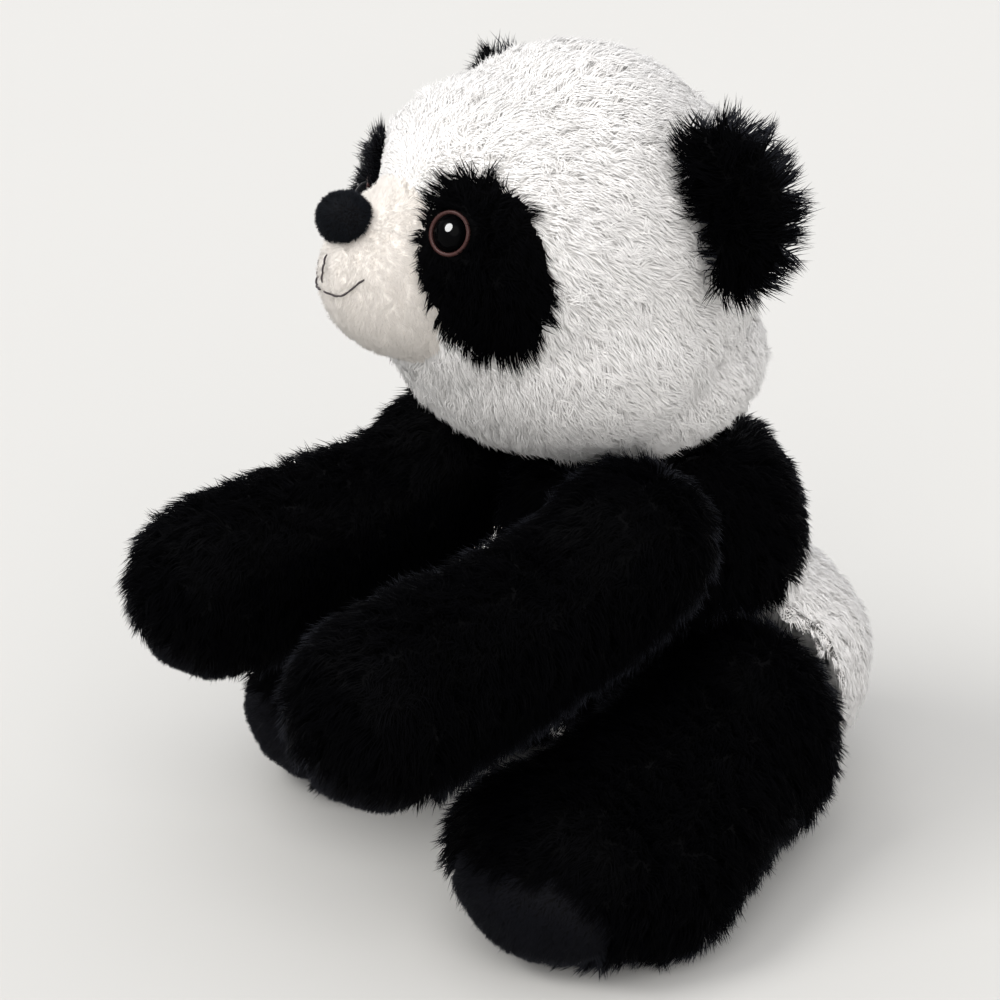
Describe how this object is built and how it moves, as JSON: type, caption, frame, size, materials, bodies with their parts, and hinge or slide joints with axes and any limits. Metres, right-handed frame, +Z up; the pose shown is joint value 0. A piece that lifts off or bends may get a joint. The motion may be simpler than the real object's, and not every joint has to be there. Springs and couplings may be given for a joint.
{
  "type": "plush panda",
  "caption": "Seated soft toy panda: sewn fur covers over stuffing, with a turning and nodding head, bending ears, swinging arms and splaying legs.",
  "frame": {"origin": "middle of the flat seat under the rump, on the surface the toy sits on", "axes": "+Z up, the panda faces -Y, its left side is +X"},
  "size_m": [0.204, 0.2136, 0.2269],
  "materials": {
    "white_fur": "long soft plush pile, warm white",
    "black_fur": "long soft plush pile, black with a cool sheen",
    "cream_pile": "short velvety pile, cream",
    "black_pile": "short velvety pile, black",
    "nose_plush": "dense very short pile, black",
    "black_thread": "embroidery thread, twisted",
    "eye_plastic": "polished moulded dome",
    "iris_plastic": "polished brown ring",
    "washer_plastic": "moulded lock washer",
    "fibre": "loose polyester fibre fill"
  },
  "bodies": {
    "torso": {"yoke_cover": "black_fur", "belly_cover": "white_fur", "torso_stuffing": "fibre"},
    "neck": {"neck_stuffing": "fibre"},
    "head": {"head_cover": "white_fur", "muzzle_cover": "cream_pile", "head_stuffing": "fibre", "nose": "nose_plush", "mouth_stitch": "black_thread", "smile_stitch_left": "black_thread", "smile_stitch_right": "black_thread", "eye_patch_left": "black_fur", "eye_patch_right": "black_fur", "eye_left": "eye_plastic", "eye_right": "eye_plastic", "iris_ring_left": "iris_plastic", "iris_ring_right": "iris_plastic", "eye_washer_left": "washer_plastic", "eye_washer_right": "washer_plastic"},
    "ear_left": {"ear_left": "black_fur"},
    "arm_left": {"arm_cover_left": "black_fur", "paw_pad_left": "black_pile", "arm_stuffing_left": "fibre"},
    "leg_left": {"leg_cover_left": "black_fur", "sole_pad_left": "black_pile", "leg_stuffing_left": "fibre"},
    "ear_right": {"ear_right": "black_fur"},
    "arm_right": {"arm_cover_right": "black_fur", "paw_pad_right": "black_pile", "arm_stuffing_right": "fibre"},
    "leg_right": {"leg_cover_right": "black_fur", "sole_pad_right": "black_pile", "leg_stuffing_right": "fibre"}
  },
  "joints": [
    {"name": "neck_turn", "type": "hinge", "parent": "torso", "child": "neck", "pos_m": [0, -0.02528, 0.12516], "axis": [0, 0, 1], "range_deg": [-18, 18], "stiffness_Nm_per_rad": 0.25},
    {"name": "head_nod", "type": "hinge", "parent": "neck", "child": "head", "pos_m": [0, -0.02528, 0.12516], "axis": [1, 0, 0], "range_deg": [-5, 5], "stiffness_Nm_per_rad": 0.6},
    {"name": "ear_left_bend", "type": "hinge", "parent": "head", "child": "ear_left", "pos_m": [0.04614, -0.03205, 0.1948], "axis": [0, 0, 1], "range_deg": [-20, 20], "stiffness_Nm_per_rad": 0.01},
    {"name": "shoulder_left_swing", "type": "hinge", "parent": "torso", "child": "arm_left", "pos_m": [0.045, -0.055, 0.1035], "axis": [-1, 0, 0], "range_deg": [-5, 10], "stiffness_Nm_per_rad": 0.15},
    {"name": "hip_left_splay", "type": "hinge", "parent": "torso", "child": "leg_left", "pos_m": [0.042, -0.017, 0.034], "axis": [0, 0, 1], "range_deg": [-4, 25], "stiffness_Nm_per_rad": 0.12},
    {"name": "ear_right_bend", "type": "hinge", "parent": "head", "child": "ear_right", "pos_m": [-0.04614, -0.03205, 0.1948], "axis": [0, 0, -1], "range_deg": [-20, 20], "stiffness_Nm_per_rad": 0.01},
    {"name": "shoulder_right_swing", "type": "hinge", "parent": "torso", "child": "arm_right", "pos_m": [-0.045, -0.055, 0.1035], "axis": [-1, 0, 0], "range_deg": [-5, 10], "stiffness_Nm_per_rad": 0.15},
    {"name": "hip_right_splay", "type": "hinge", "parent": "torso", "child": "leg_right", "pos_m": [-0.042, -0.017, 0.034], "axis": [0, 0, -1], "range_deg": [-4, 25], "stiffness_Nm_per_rad": 0.12}
  ]
}
